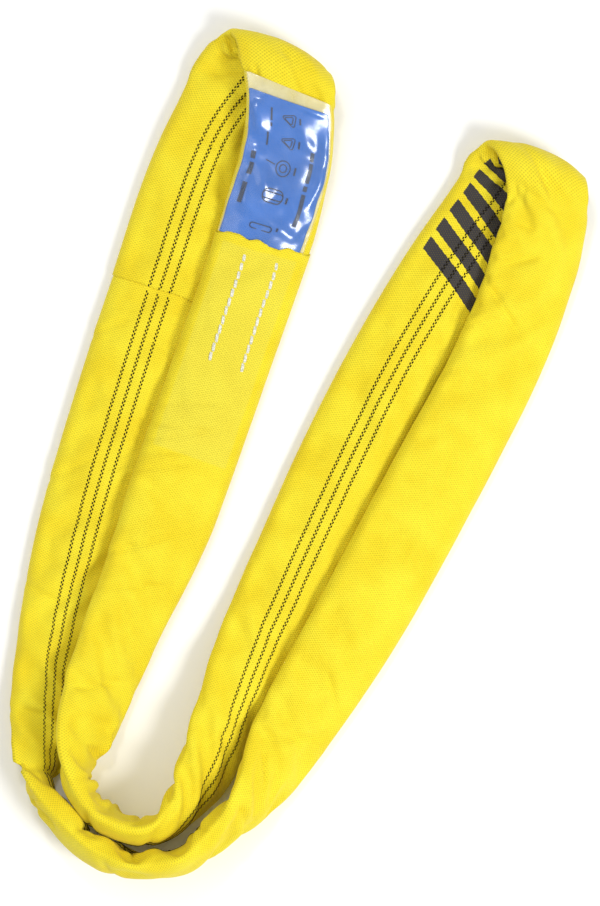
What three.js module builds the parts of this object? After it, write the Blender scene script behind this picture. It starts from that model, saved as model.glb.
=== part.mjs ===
// Endless polyester round sling, doubled flat and bent into a U on a table.
// Millimetres, +Z up, the table at z = 0. Every sub-part is its own named mesh.
import * as THREE from 'three';

// ---- Driving dimensions ----
const WALL = 1.2; // woven cover
const GAP = 0.3; // running gap between neighbouring pieces
const LABEL_THICK = 0.6;
const FILM_THICK = 0.4;
const CORE_INSET = 4.2; // outer surface of the yarn bundle, below the cover's outer surface
const TRACER_PITCH = 7;
const TRACER_SHIFT = 2; // middle line, from the middle of the face towards the foot edge
const TRACER_WIDTH = 1.2;
const TRACER_THICK = 0.5;
const STITCH_WIDTH = 1.6;
const STITCH_THICK = 0.5;
const TABLE_CLEARANCE = 1.5; // under a face with tracer lines

// Route of the flattened cover, one row for each place where its shape changes. Each row gives the
// crown edge (x, y, z), the foot edge (x, y, z) and the thickness. The crown edge is the one on top
// wherever the belt stands on edge, and the face with the tracer lines looks up where the crown edge
// is on the left of the direction of travel.
const ROUTE = [
  // left arm, lower layer, going up to the first eye
  [-172, -128, 8, -126, -133, 4, 18],
  [-163, -72, 5, -110, -80, 4, 18],
  [-143, 8, 5, -89, -7, 4, 18],
  [-112, 106, 5, -58, 89, 4, 19],
  [-97, 152, 5, -43, 133, 4, 19],
  [-84, 188, 6, -32, 166, 4, 18],
  [-68, 223, 8, -19, 194, 4, 17],
  // first eye: the belt folds over on itself
  [-57, 240, 9, 5, 213, 6, 16],
  [-50, 246, 12, 12, 220, 9, 15],
  [-43, 249, 19, 17, 222, 16, 15],
  [-37, 245, 26, 19, 218, 23, 15],
  [-34, 235, 29, 21, 210, 26, 16],
  [-31, 210, 27, 22, 195, 20, 17],
  // left arm, upper layer, coming down past the label
  [-34, 182, 20, 20, 168, 11, 18],
  [-46, 145, 16, 9, 129, 7, 18],
  [-57, 113, 15, -3, 94, 6, 18],
  [-80, 44, 15, -27, 23, 6, 18],
  [-104, -26, 18, -51, -45, 6, 18],
  [-122, -81, 23, -78, -101, 4, 18],
  [-136, -127, 29, -97, -142, 3, 19],
  [-141, -164, 41, -114, -174, 3, 19],
  // inner bend: the belt stands on edge
  [-130, -189, 50, -131, -193, 2, 18],
  [-122, -204, 50, -125, -209, 2, 17],
  [-110, -214, 50, -112, -219, 2, 17],
  [-95, -218, 49, -96, -224, 2, 17],
  [-81, -213, 45, -77, -223, 2, 18],
  [-72, -185, 35, -45, -200, 3, 19],
  // right arm, lower layer, going up to the second eye
  [-62, -146, 24, -22, -161, 3, 18],
  [-45, -97, 10, 3, -118, 4, 18],
  [-9, -16, 5, 42, -39, 4, 19],
  [36, 74, 5, 84, 45, 4, 19],
  [72, 133, 5, 119, 103, 4, 18],
  [92, 163, 7, 139, 133, 4, 16],
  // second eye
  [97, 173, 9, 154, 151, 6, 16],
  [102, 179, 12, 161, 159, 9, 15],
  [108, 183, 19, 165, 162, 16, 15],
  [115, 179, 26, 168, 159, 23, 14],
  [121, 169, 30, 170, 149, 26, 15],
  [124, 152, 27, 172, 138, 19, 17],
  // right arm, upper layer, coming down
  [120, 137, 25, 170, 125, 12, 18],
  [112, 113, 20, 165, 101, 8, 18],
  [76, 35, 15, 126, 9, 6, 18],
  [38, -34, 16, 88, -62, 6, 18],
  [0, -107, 18, 47, -135, 5, 18],
  [-20, -141, 20, 24, -166, 4, 18],
  [-32, -170, 30, 3, -193, 3, 19],
  [-37, -195, 41, -20, -214, 3, 19],
  // outer bend: the belt stands on edge outside the inner one
  [-50, -217, 47, -46, -229, 2, 18],
  [-70, -235, 49, -71, -243, 2, 17],
  [-97, -239, 49, -99, -244, 2, 16],
  [-122, -228, 48, -125, -237, 2, 16],
  [-142, -209, 44, -144, -216, 2, 16],
  [-160, -191, 30, -148, -197, 2, 17],
  [-170, -169, 16, -132, -174, 3, 18],
];
const ROWS = ROUTE.length;

// Places along the route, counted in rows
const JOINT_COVER = { start: 3, end: 16.6 }; // short length, over the first eye
const MAIN_COVER = { start: 14.5, end: ROWS + 4.25 }; // long length, round everything else
const LABEL = { start: 11.75, end: 14.4, from: -0.92, to: 0.76 };
const FILM = { start: 11.4, end: 14.4, from: -0.95, to: 0.84 };
const LABEL_TAIL = { start: 14.55, end: 16.5 };
const STITCHES = { start: 14.62, end: 15.74, across: [-0.3, 0.38] };
const CORE_TAPE = { start: 42, end: 42.5 };
// Between these rows a station is added halfway
const FINE_ROWS = [[1, 4], [14, 18], [28, 31], [39, 44]];

// ---- Colours ----
const YELLOW = { color: 0xf2dc1e, roughness: 0.75, metalness: 0 };
const LOOKS = {
  cover: YELLOW,
  core: { color: 0xe9e4d2, roughness: 0.6, metalness: 0 },
  tape: { color: 0xd8d2bd, roughness: 0.5, metalness: 0 },
  tracer: { color: 0x17140c, roughness: 0.8, metalness: 0 },
  label: { color: 0x3f86dd, roughness: 0.45, metalness: 0 },
  film: { color: 0xdfeaf2, roughness: 0.1, metalness: 0 },
  thread: { color: 0xf4f1e8, roughness: 0.6, metalness: 0 },
};

// ---- The belt's frame at any place along the route ----
const curve = (columns) => new THREE.CatmullRomCurve3(
  ROUTE.map((row) => new THREE.Vector3(...columns.map((c) => row[c] ?? 0))), true, 'centripetal');
const crownEdge = curve([0, 1, 2]);
const footEdge = curve([3, 4, 5]);
const thickness = curve([6, 7, 7]);
const at = (edge, place) => edge.getPoint(((place / ROWS) % 1 + 1) % 1);
const centre = (place) => at(crownEdge, place).add(at(footEdge, place)).multiplyScalar(0.5);

function frame(place) {
  const crown = at(crownEdge, place);
  const foot = at(footEdge, place);
  const across = foot.clone().sub(crown);
  const halfWidth = across.length() / 2;
  across.normalize();
  const along = centre(place + 0.05).sub(centre(place - 0.05));
  const normal = across.clone().cross(along).normalize(); // out of the face with the tracer lines
  const half = at(thickness, place).x / 2;
  return { middle: crown.add(foot).multiplyScalar(0.5), across, normal, halfWidth, half };
}

// Height of the filled section over its flat middle plane, 1 in the middle and 0 at the edges
const EDGE_POWER = 2.2;
const FACE_POWER = 0.8;
const bulge = (x) => Math.max(0, 1 - Math.abs(x) ** EDGE_POWER) ** FACE_POWER;

// A point on the belt: x runs from -1 at the crown edge to 1 at the foot edge, side is 1 for the face
// with the tracer lines and -1 for the plain one, and lift is the height over the cover's nominal
// surface. Flatten is 0 for a sheet that follows the bulge and 1 for a flat one. The table flattens
// what would hang below it.
function surface(f, x, side, lift, flatten = 0) {
  const inward = Math.min(lift, 0);
  const outward = Math.max(lift, 0);
  const shape = bulge(x) * (1 - flatten) + flatten;
  const point = f.middle.clone()
    .addScaledVector(f.across, x * (f.halfWidth + lift))
    .addScaledVector(f.normal, side * ((f.half + inward) * shape + outward));
  const clearance = side > 0 ? TABLE_CLEARANCE : 0;
  point.z = Math.max(point.z, clearance - lift, 0);
  return point;
}

// ---- Closed bodies from rings of points ----
// A loop that turns back halfway, as the wall of a tube does, mirrors its diagonals on the way back,
// so that the inside lies parallel to the outside.
function closedBody(rings, isLoop, turnsBack = false) {
  const size = rings[0].length;
  const positions = rings.flat().flatMap((p) => [p.x, p.y, p.z]);
  const index = [];
  const spans = isLoop ? rings.length : rings.length - 1;
  for (let i = 0; i < spans; i += 1) {
    const next = (i + 1) % rings.length;
    for (let j = 0; j < size; j += 1) {
      const a = i * size + j;
      const b = i * size + (j + 1) % size;
      const c = next * size + (j + 1) % size;
      const d = next * size + j;
      if (turnsBack && i >= rings.length / 2) index.push(a, d, b, d, c, b);
      else index.push(a, c, b, a, d, c);
    }
  }
  if (!isLoop) {
    const last = (rings.length - 1) * size;
    for (let j = 0; j < size / 2 - 1; j += 1) {
      const [a, b, c, d] = [j, j + 1, size - 2 - j, size - 1 - j]; // a rung from the low row to the high one
      index.push(a, b, c, a, c, d);
      index.push(last + a, last + c, last + b, last + a, last + d, last + c);
    }
  }
  const geometry = new THREE.BufferGeometry();
  geometry.setAttribute('position', new THREE.Float32BufferAttribute(positions, 3));
  geometry.setIndex(index);
  return geometry;
}

// Every body uses the same stations, so neighbouring facets lie parallel to each other
const isFine = (row) => FINE_ROWS.some(([first, last]) => row >= first && row < last);
const LOOP_STATIONS = ROUTE.flatMap((_, row) => (isFine(row) ? [row, row + 0.5] : [row]));
const MIN_STEP = 0.15;
function stations({ start, end }) {
  const twoLaps = [...LOOP_STATIONS, ...LOOP_STATIONS.map((place) => place + ROWS)];
  return [start, ...twoLaps.filter((place) => place > start + MIN_STEP && place < end - MIN_STEP), end];
}

// Corners of the section: over the plain face to the foot edge, and back over the tracer face
const HALF_SIDES = 7;
const CORNERS = Array.from({ length: HALF_SIDES + 1 }, (_, k) => -Math.cos((k * Math.PI) / HALF_SIDES));
function section(f, lift) {
  const plain = CORNERS.slice(0, -1).map((x) => surface(f, x, -1, lift));
  const marked = CORNERS.slice(0, -1).map((x) => surface(f, -x, 1, lift));
  return [...plain, ...marked];
}

// A hollow tube round the belt with two open ends
function tube(span, outerLift, thick) {
  const places = stations(span);
  const outer = places.map((place) => section(frame(place), outerLift(place)));
  const inner = places.map((place) => section(frame(place), outerLift(place) - thick));
  return closedBody([...outer, ...inner.reverse()], true, true);
}

// A sheet on one face. across lists its x values and lift is the height of its underside.
function sheet(span, side, across, lift, thick, flatten = 0) {
  const rings = stations(span).map((place) => {
    const f = frame(place);
    const xs = across(f);
    const low = xs.map((x) => surface(f, x, side, lift(place), flatten));
    const high = xs.map((x) => surface(f, x, side, lift(place) + thick, flatten));
    return side > 0 ? [...low, ...high.reverse()] : [...high, ...low.reverse()];
  });
  return closedBody(rings, false);
}
const line = (middle, width) => (f) => [(middle - width / 2) / f.halfWidth, (middle + width / 2) / f.halfWidth];
const evenly = (from, to, steps) => () => (
  Array.from({ length: steps + 1 }, (_, k) => from + ((to - from) * k) / steps));

const sling = new THREE.Group();
function add(name, geometry, look) {
  const mesh = new THREE.Mesh(geometry, new THREE.MeshStandardMaterial(LOOKS[look]));
  mesh.name = name;
  sling.add(mesh);
}

// ---- Cover, in two lengths whose ends slide into each other ----
const COVERING = 0.6; // lift of the end that covers
const COVERED = COVERING - WALL - LABEL_THICK - 3 * GAP; // lift of the end that is covered
const JOINT_SETTLES = [5, 6]; // rows over which the covering end comes down to the nominal surface
const MAIN_SETTLES = [17, 17.5];
const TUCK = 0.5; // rows over which the covered end goes down under the other one
const ramp = (place, from, to, low, high) => {
  const share = THREE.MathUtils.clamp((place - from) / (to - from), 0, 1);
  return low + (high - low) * share;
};

// Lift of one length's surface: covering at its own start, covered where the other length starts
const coverLift = (span, settles, otherStart) => (place) => {
  if (place < (span.start + span.end) / 2) return ramp(place, ...settles, COVERING, 0);
  return ramp(place, otherStart - TUCK, otherStart, 0, COVERED);
};
const jointLift = coverLift(JOINT_COVER, JOINT_SETTLES, MAIN_COVER.start);
const mainLift = coverLift(MAIN_COVER, MAIN_SETTLES, ROWS + JOINT_COVER.start);
const over = (lift) => (place) => lift(place) + GAP;
const steady = (lift) => () => lift;

add('main_cover', tube(MAIN_COVER, mainLift, WALL), 'cover');
add('joint_cover', tube(JOINT_COVER, jointLift, WALL), 'cover');

// ---- Tracer yarns on both lengths ----
const SHORT = 0.05; // rows that a yarn stops short of the end that covers it
const ON_MAIN = { start: MAIN_COVER.start, end: ROWS + JOINT_COVER.start - SHORT };
const ON_JOINT = { start: JOINT_COVER.start, end: MAIN_COVER.start - SHORT };
for (const k of [-1, 0, 1]) {
  const place = line(TRACER_SHIFT + k * TRACER_PITCH, TRACER_WIDTH);
  add(`main_tracer_${k + 2}`, sheet(ON_MAIN, 1, place, over(mainLift), TRACER_THICK), 'tracer');
  add(`joint_tracer_${k + 2}`, sheet(ON_JOINT, 1, place, over(jointLift), TRACER_THICK), 'tracer');
}

// ---- Core: endless yarns wound side by side, and the tape over their ends ----
const YARN_EDGES = [-0.93, -0.57, -0.19, 0.19, 0.57, 0.93];
const YARN_GAP = 0.045;
for (let k = 0; k < YARN_EDGES.length - 1; k += 1) {
  const from = YARN_EDGES[k] + YARN_GAP;
  const to = YARN_EDGES[k + 1] - YARN_GAP;
  const xs = [from, (from + to) / 2, to];
  const rings = LOOP_STATIONS.map((place) => {
    const f = frame(place);
    const plain = xs.map((x) => surface(f, x, -1, -CORE_INSET));
    const marked = xs.map((x) => surface(f, x, 1, -CORE_INSET)).reverse();
    return [...plain, ...marked];
  });
  add(`core_yarn_${k + 1}`, closedBody(rings, true), 'core');
}
const TAPE_THICK = 0.8;
add('core_tape', tube(CORE_TAPE, steady(-CORE_INSET + 2 * GAP + TAPE_THICK), TAPE_THICK), 'tape');

// ---- Label in its film pouch, sewn in under the covering end ----
const LABEL_FLATTEN = 0.5;
const labelLift = 2 * GAP + FILM_THICK;
const frontLift = labelLift + LABEL_THICK + GAP;
const layer = (span, lift, thick) => (
  sheet(span, -1, evenly(span.from, span.to, 4), steady(lift), thick, LABEL_FLATTEN));
add('pouch_back', layer(FILM, GAP, FILM_THICK), 'film');
add('label', layer(LABEL, labelLift, LABEL_THICK), 'label');
add('pouch_front', layer(FILM, frontLift, FILM_THICK), 'film');
const tailLift = COVERED + 1.5 * GAP;
add('label_tail', sheet(LABEL_TAIL, -1, () => CORNERS.slice(1, -1), steady(tailLift), LABEL_THICK), 'label');

// ---- Stitching through the covering end ----
STITCHES.across.forEach((x, k) => {
  const row = (f) => [x - STITCH_WIDTH / 2 / f.halfWidth, x + STITCH_WIDTH / 2 / f.halfWidth];
  add(`stitch_row_${k + 1}`, sheet(STITCHES, -1, row, steady(COVERING + GAP), STITCH_THICK), 'thread');
});

export default sling;
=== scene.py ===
import math

import bpy
import numpy as np
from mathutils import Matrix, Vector
from mathutils.bvhtree import BVHTree


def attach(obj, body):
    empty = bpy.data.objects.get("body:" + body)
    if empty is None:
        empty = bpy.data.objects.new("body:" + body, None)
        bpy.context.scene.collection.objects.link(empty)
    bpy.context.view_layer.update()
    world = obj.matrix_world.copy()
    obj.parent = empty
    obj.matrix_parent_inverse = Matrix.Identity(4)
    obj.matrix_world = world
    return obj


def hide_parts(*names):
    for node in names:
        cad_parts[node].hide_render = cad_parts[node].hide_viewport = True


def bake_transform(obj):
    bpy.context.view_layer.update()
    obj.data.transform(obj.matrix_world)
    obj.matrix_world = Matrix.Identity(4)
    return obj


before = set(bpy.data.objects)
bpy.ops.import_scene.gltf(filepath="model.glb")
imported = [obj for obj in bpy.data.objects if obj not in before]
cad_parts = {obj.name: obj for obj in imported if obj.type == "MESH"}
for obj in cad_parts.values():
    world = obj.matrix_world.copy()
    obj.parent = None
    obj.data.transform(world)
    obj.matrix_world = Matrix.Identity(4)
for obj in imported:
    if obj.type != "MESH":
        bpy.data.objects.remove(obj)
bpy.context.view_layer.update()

MM = 0.001

# ---------------------------------------------------------------- route of the flattened cover
# The part's own rows, in millimetres: crown edge x, y, z, foot edge x, y, z and thickness.
ROUTE = np.array([
    # left arm, lower layer, going up to the first eye
    [-172, -128, 8, -126, -133, 4, 18],
    [-163, -72, 5, -110, -80, 4, 18],
    [-143, 8, 5, -89, -7, 4, 18],
    [-112, 106, 5, -58, 89, 4, 19],
    [-97, 152, 5, -43, 133, 4, 19],
    [-84, 188, 6, -32, 166, 4, 18],
    [-68, 223, 8, -19, 194, 4, 17],
    # first eye
    [-57, 240, 9, 5, 213, 6, 16],
    [-50, 246, 12, 12, 220, 9, 15],
    [-43, 249, 19, 17, 222, 16, 15],
    [-37, 245, 26, 19, 218, 23, 15],
    [-34, 235, 29, 21, 210, 26, 16],
    [-31, 210, 27, 22, 195, 20, 17],
    # left arm, upper layer, coming down past the label
    [-34, 182, 20, 20, 168, 11, 18],
    [-46, 145, 16, 9, 129, 7, 18],
    [-57, 113, 15, -3, 94, 6, 18],
    [-80, 44, 15, -27, 23, 6, 18],
    [-104, -26, 18, -51, -45, 6, 18],
    [-122, -81, 23, -78, -101, 4, 18],
    [-136, -127, 29, -97, -142, 3, 19],
    [-141, -164, 41, -114, -174, 3, 19],
    # inner bend
    [-130, -189, 50, -131, -193, 2, 18],
    [-122, -204, 50, -125, -209, 2, 17],
    [-110, -214, 50, -112, -219, 2, 17],
    [-95, -218, 49, -96, -224, 2, 17],
    [-81, -213, 45, -77, -223, 2, 18],
    [-72, -185, 35, -45, -200, 3, 19],
    # right arm, lower layer, going up to the second eye
    [-62, -146, 24, -22, -161, 3, 18],
    [-45, -97, 10, 3, -118, 4, 18],
    [-9, -16, 5, 42, -39, 4, 19],
    [36, 74, 5, 84, 45, 4, 19],
    [72, 133, 5, 119, 103, 4, 18],
    [92, 163, 7, 139, 133, 4, 16],
    # second eye
    [97, 173, 9, 154, 151, 6, 16],
    [102, 179, 12, 161, 159, 9, 15],
    [108, 183, 19, 165, 162, 16, 15],
    [115, 179, 26, 168, 159, 23, 14],
    [121, 169, 30, 170, 149, 26, 15],
    [124, 152, 27, 172, 138, 19, 17],
    # right arm, upper layer, coming down
    [120, 137, 25, 170, 125, 12, 18],
    [112, 113, 20, 165, 101, 8, 18],
    [76, 35, 15, 126, 9, 6, 18],
    [38, -34, 16, 88, -62, 6, 18],
    [0, -107, 18, 47, -135, 5, 18],
    [-20, -141, 20, 24, -166, 4, 18],
    [-32, -170, 30, 3, -193, 3, 19],
    [-37, -195, 41, -20, -214, 3, 19],
    # outer bend
    [-50, -217, 47, -46, -229, 2, 18],
    [-70, -235, 49, -71, -243, 2, 17],
    [-97, -239, 49, -99, -244, 2, 16],
    [-122, -228, 48, -125, -237, 2, 16],
    [-142, -209, 44, -144, -216, 2, 16],
    [-160, -191, 30, -148, -197, 2, 17],
    [-170, -169, 16, -132, -174, 3, 18],
], float) * MM
ROWS = len(ROUTE)

# Places along the route, in rows, as in the part's source
JOINT_COVER = (3.0, 16.6)
MAIN_COVER = (14.5, ROWS + 4.25)
LABEL = (11.75, 14.4)
FILM = (11.4, 14.4)
LABEL_TAIL = (14.55, 16.5)
STITCHES = (14.62, 15.74)
CORE_TAPE = (42.0, 42.5)
EYES = ((5.5, 13.5), (31.5, 39.5))
BENDS = ((18.8, 26.3), (45.0, ROWS + 0.3))
LABEL_BED = ((11.1, 14.7),)

GIRTH = 130 * MM  # of the woven tube
AROUND = 40  # points round it in the simulation
FACE_MIDDLE = {"plain": 0.25 * GIRTH, "marked": 0.75 * GIRTH}


def unit(v):
    return v / np.maximum(np.linalg.norm(v, axis=-1, keepdims=True), 1e-12)


def spline(points, place):
    """Closed centripetal Catmull-Rom spline through points, read at places counted in rows."""
    place = np.asarray(place, float)
    row = np.floor(place).astype(int)
    w = (place - row)[:, None]
    p0, p1, p2, p3 = (points[(row + k) % len(points)] for k in (-1, 0, 1, 2))

    def span(a, b):
        return np.sqrt(np.linalg.norm(b - a, axis=1))[:, None]

    d0, d1, d2 = span(p0, p1), span(p1, p2), span(p2, p3)
    t1 = ((p1 - p0) / d0 - (p2 - p0) / (d0 + d1) + (p2 - p1) / d1) * d1
    t2 = ((p2 - p1) / d1 - (p3 - p1) / (d1 + d2) + (p3 - p2) / d2) * d1
    a = 2 * p1 - 2 * p2 + t1 + t2
    b = -3 * p1 + 3 * p2 - 2 * t1 - t2
    return ((a * w + b) * w + t1) * w + p1


def middle(place):
    return (spline(ROUTE[:, :3], place) + spline(ROUTE[:, 3:6], place)) / 2


LAP = np.linspace(0, 2 * ROWS, 80 * ROWS + 1)
LAP_LENGTH = np.concatenate([[0], np.cumsum(np.linalg.norm(np.diff(middle(LAP), axis=0), axis=1))])


def length_at(place):
    """Distance along the belt's middle line from the first row, in metres."""
    return np.interp(place, LAP, LAP_LENGTH)


def place_at(length):
    return np.interp(length, LAP_LENGTH, LAP)


LOOP = length_at(ROWS)


def within(place, spans, soft):
    """1 inside the spans of rows, falling to 0 over soft rows at their ends."""
    place = place % ROWS
    place = np.stack([place, place + ROWS])
    inside = [np.clip(np.minimum(place - a, b - place) / soft, 0, 1).max(axis=0) for a, b in spans]
    return np.maximum.reduce(inside)


def frames(place):
    """Middle, directions and half sizes of the flattened section, as columns over the places."""
    crown, foot = spline(ROUTE[:, :3], place), spline(ROUTE[:, 3:6], place)
    across = foot - crown
    half_width = np.linalg.norm(across, axis=1) / 2
    across = unit(across)
    along = middle(place + 0.04) - middle(place - 0.04)
    normal = unit(np.cross(across, along))  # out of the face with the tracer lines
    half_thick = np.interp(place % ROWS, np.arange(ROWS + 1), np.append(ROUTE[:, 6], ROUTE[0, 6])) / 2
    return (crown + foot) / 2, across, normal, half_width, half_thick


def surface(place, x, side, lift, flatten=0.0):
    """Points on the padded belt: x runs from -1 at the crown edge to 1 at the foot edge, and side is
    1 for the face with the tracer lines and -1 for the plain one."""
    mid, across, normal, half_width, half_thick = (v[:, None] for v in frames(place))
    lift = np.broadcast_to(lift, (len(place), len(x)))
    shape = (1 - np.abs(x) ** 2.2) ** 0.8 * (1 - flatten) + flatten
    fold = within(place, FOLD_LINES, 2.0)[:, None] * (side < 0) * FOLD_BULGE
    height = side * ((half_thick + np.minimum(lift, 0)) * (1 + fold) * shape + np.maximum(lift, 0))
    point = mid + across * (x * (half_width + lift))[..., None] + normal * height[..., None]
    point[..., 2] = np.maximum(point[..., 2], np.where(side > 0, TABLE_GAP, 0) + np.maximum(-lift, 0))
    return point


FOLD_LINES = ((9.4, 9.5), (35.2, 35.3))  # where the eyes fold over
FOLD_BULGE = 0.55  # how much fuller the outside of a fold is
TABLE_GAP = 0.6 * MM


def section_points():
    """x and side of points evenly spaced round the section, from the crown edge over the plain face."""
    x = -np.cos(np.linspace(0, math.pi, 400))
    height = 0.3 * (1 - np.abs(x) ** 2.2) ** 0.8
    run = np.concatenate([[0], np.cumsum(np.hypot(np.diff(x), np.diff(height)))])
    even = np.interp(np.linspace(0, run[-1], AROUND // 2 + 1), run, x)
    sides = np.repeat([-1, 1], AROUND // 2)
    return np.concatenate([even[:-1], -even[:-1]]), sides


RING_X, RING_SIDE = section_points()


class Skin:
    """The fabric's surface round the loop, read by length along it and distance round it."""

    def __init__(self, grid):
        self.grid = grid
        ring = np.roll(grid, -1, axis=1) - np.roll(grid, 1, axis=1)
        run = np.roll(grid, -1, axis=0) - np.roll(grid, 1, axis=0)
        self.normals = unit(np.cross(run, ring))

    def read(self, table, s, q):
        rows, cols = table.shape[:2]
        i, j = s / LOOP * rows, q / GIRTH * cols
        i0, j0 = np.floor(i).astype(int), np.floor(j).astype(int)
        fi, fj = (i - i0)[..., None], (j - j0)[..., None]
        low = table[i0 % rows, j0 % cols] * (1 - fj) + table[i0 % rows, (j0 + 1) % cols] * fj
        high = table[(i0 + 1) % rows, j0 % cols] * (1 - fj) + table[(i0 + 1) % rows, (j0 + 1) % cols] * fj
        return low * (1 - fi) + high * fi

    def at(self, s, q, lift):
        s, q, lift = np.broadcast_arrays(np.asarray(s, float), np.asarray(q, float), lift)
        return self.read(self.grid, s, q) + unit(self.read(self.normals, s, q)) * lift[..., None]


# ---------------------------------------------------------------- meshes
def grid_faces(rows, cols, closed):
    """Quads of a grid, facing out for the fabric. A closed grid joins its last column to its first."""
    i, j = np.meshgrid(np.arange(rows - 1), np.arange(cols if closed else cols - 1), indexing="ij")
    a, b = i * cols + j, i * cols + (j + 1) % cols
    return np.stack([a, a + cols, b + cols, b], axis=-1).reshape(-1, 4)


def new_piece(name, points, faces, material, slot, replaced=()):
    mesh = bpy.data.meshes.new(name)
    mesh.from_pydata(np.asarray(points).reshape(-1, 3).tolist(), [], [list(map(int, f)) for f in faces])
    mesh.shade_smooth()
    mesh.materials.append(material)
    obj = bpy.data.objects.new(name, mesh)
    bpy.context.scene.collection.objects.link(obj)
    if replaced:
        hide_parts(*replaced)
    return obj


def sling_piece(*arguments):
    obj = new_piece(*arguments)
    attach(obj, "sling")
    return obj


def joined(parts):
    """One list of points and one of faces from several (points, faces) pairs."""
    points, faces, start = [], [], 0
    for part_points, part_faces in parts:
        points.append(np.asarray(part_points).reshape(-1, 3))
        faces += [[int(k) + start for k in f] for f in part_faces]
        start += len(points[-1])
    return np.concatenate(points), faces


# ---------------------------------------------------------------- fabric simulation
STATIONS = 640  # round the loop
MOST_OUT, MOST_IN, MOST_ASIDE = 1.6 * MM, 2.4 * MM, 4 * MM  # how far the fabric may move
FLOOR = 0.5 * MM  # lowest that the fabric's middle surface goes
COARSE = {"times": 320, "bending": 0.16}
FINE = {"times": 160, "bending": 0.12}


def room_outside(grid, normals):
    """How far each point can move out before it meets another layer."""
    rows, cols = grid.shape[:2]
    closed = np.concatenate([grid, grid[:1]])
    tree = BVHTree.FromPolygons(closed.reshape(-1, 3).tolist(), grid_faces(rows + 1, cols, True).tolist())
    room = np.full(rows * cols, MOST_OUT)
    for k, (point, normal) in enumerate(zip(grid.reshape(-1, 3), normals.reshape(-1, 3))):
        hit = tree.ray_cast(Vector(point + normal * 0.2 * MM), Vector(normal), 2.5 * MOST_OUT)
        if hit[0] is not None:
            room[k] = min(MOST_OUT, 0.45 * hit[3])
    return room.reshape(rows, cols)


class Fabric:
    """Woven tube laid over the padded belt at its true length and girth, and relaxed until its
    stretch, shear and bending links settle. What is too long for the way it has to go wrinkles."""

    def __init__(self, stations, around):
        place = place_at(np.arange(stations) / stations * LOOP)
        skip = AROUND // around
        self.home = surface(place, RING_X[::skip], RING_SIDE[::skip], 0.0)
        self.normals = Skin(self.home).normals
        under_label = within(place, LABEL_BED, 0.3)[:, None] * (RING_SIDE[::skip] < 0)
        self.room = (room_outside(self.home, self.normals) * (1 - 0.95 * under_label))[..., None]
        along = np.linalg.norm(np.roll(self.home, -1, axis=0) - self.home, axis=2)
        around = np.linalg.norm(np.roll(self.home, -1, axis=1) - self.home, axis=2)
        eye, bend = within(place, EYES, 1.0), within(place, BENDS, 1.5)
        share = (0.10 + 0.16 * bend)[:, None]
        longest = along.max(axis=1, keepdims=True)
        self.along = (along + share * (longest - along)) * (1.006 + 0.004 * bend + 0.012 * eye)[:, None]
        self.around = around * (1.008 + 0.006 * bend + 0.02 * eye)[:, None]
        self.slant = np.hypot(self.along, self.around)
        self.point = self.home.copy()

    def pull(self, di, dj, rest, stiffness):
        gap = np.roll(self.point, (-di, -dj), (0, 1)) - self.point
        length = np.linalg.norm(gap, axis=2)
        share = np.where(length > rest, stiffness, stiffness * 0.6)
        step = gap * (share * (length - rest) / np.maximum(length, 1e-9))[..., None]
        self.point += step
        self.point -= np.roll(step, (di, dj), (0, 1))

    def stay_near(self):
        move = self.point - self.home
        out = (move * self.normals).sum(axis=2, keepdims=True)
        aside = move - self.normals * out
        size = np.linalg.norm(aside, axis=2, keepdims=True)
        aside *= np.minimum(1, MOST_ASIDE / np.maximum(size, 1e-9))
        self.point = self.home + aside + self.normals * np.clip(out, -MOST_IN, self.room)
        self.point[..., 2] = np.maximum(self.point[..., 2], FLOOR)

    def relax(self, times, bending):
        two_along = self.along + np.roll(self.along, -1, axis=0)
        two_around = self.around + np.roll(self.around, -1, axis=1)
        for _ in range(times):
            self.pull(1, 0, self.along, 0.35)
            self.pull(0, 1, self.around, 0.35)
            self.pull(1, 1, self.slant, 0.08)
            self.pull(1, -1, self.slant, 0.08)
            self.pull(2, 0, two_along, bending)
            self.pull(0, 2, two_around, bending * 0.08)
            self.stay_near()


def refine(grid):
    """Twice as many points both ways on a closed grid, on smooth curves."""
    for axis in (0, 1):
        before, after = np.roll(grid, 1, axis), np.roll(grid, -1, axis)
        beyond = np.roll(grid, -2, axis)
        halfway = (9 * (grid + after) - before - beyond) / 16
        shape = list(grid.shape)
        shape[axis] *= 2
        grid = np.stack([grid, halfway], axis=axis + 1).reshape(shape)
    return grid


def soft_noise(shape, seed, passes):
    noise = np.random.default_rng(seed).normal(size=shape)
    for _ in range(passes):
        for axis in (0, 1):
            noise = (np.roll(noise, 1, axis) + 2 * noise + np.roll(noise, -1, axis)) / 4
    return noise / noise.std()


def drape():
    """The fabric's surface round the whole loop, coarse wrinkles first and fine ones after."""
    coarse = Fabric(STATIONS // 2, AROUND // 2)
    seed = soft_noise(coarse.home.shape[:2], 7, 3)[..., None]
    coarse.point += coarse.normals * seed * 0.6 * MM
    coarse.relax(**COARSE)
    fine = Fabric(STATIONS, AROUND)
    fine.point += refine(coarse.point - coarse.home)
    fine.relax(**FINE)
    return fine.point


def q_at(x, side):
    """Distance round the tube of a point x across the face on that side."""
    q = np.interp(x, RING_X[:AROUND // 2], np.arange(AROUND // 2) / AROUND * GIRTH)
    return np.where(np.asarray(side) < 0, q, GIRTH - q)


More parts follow.
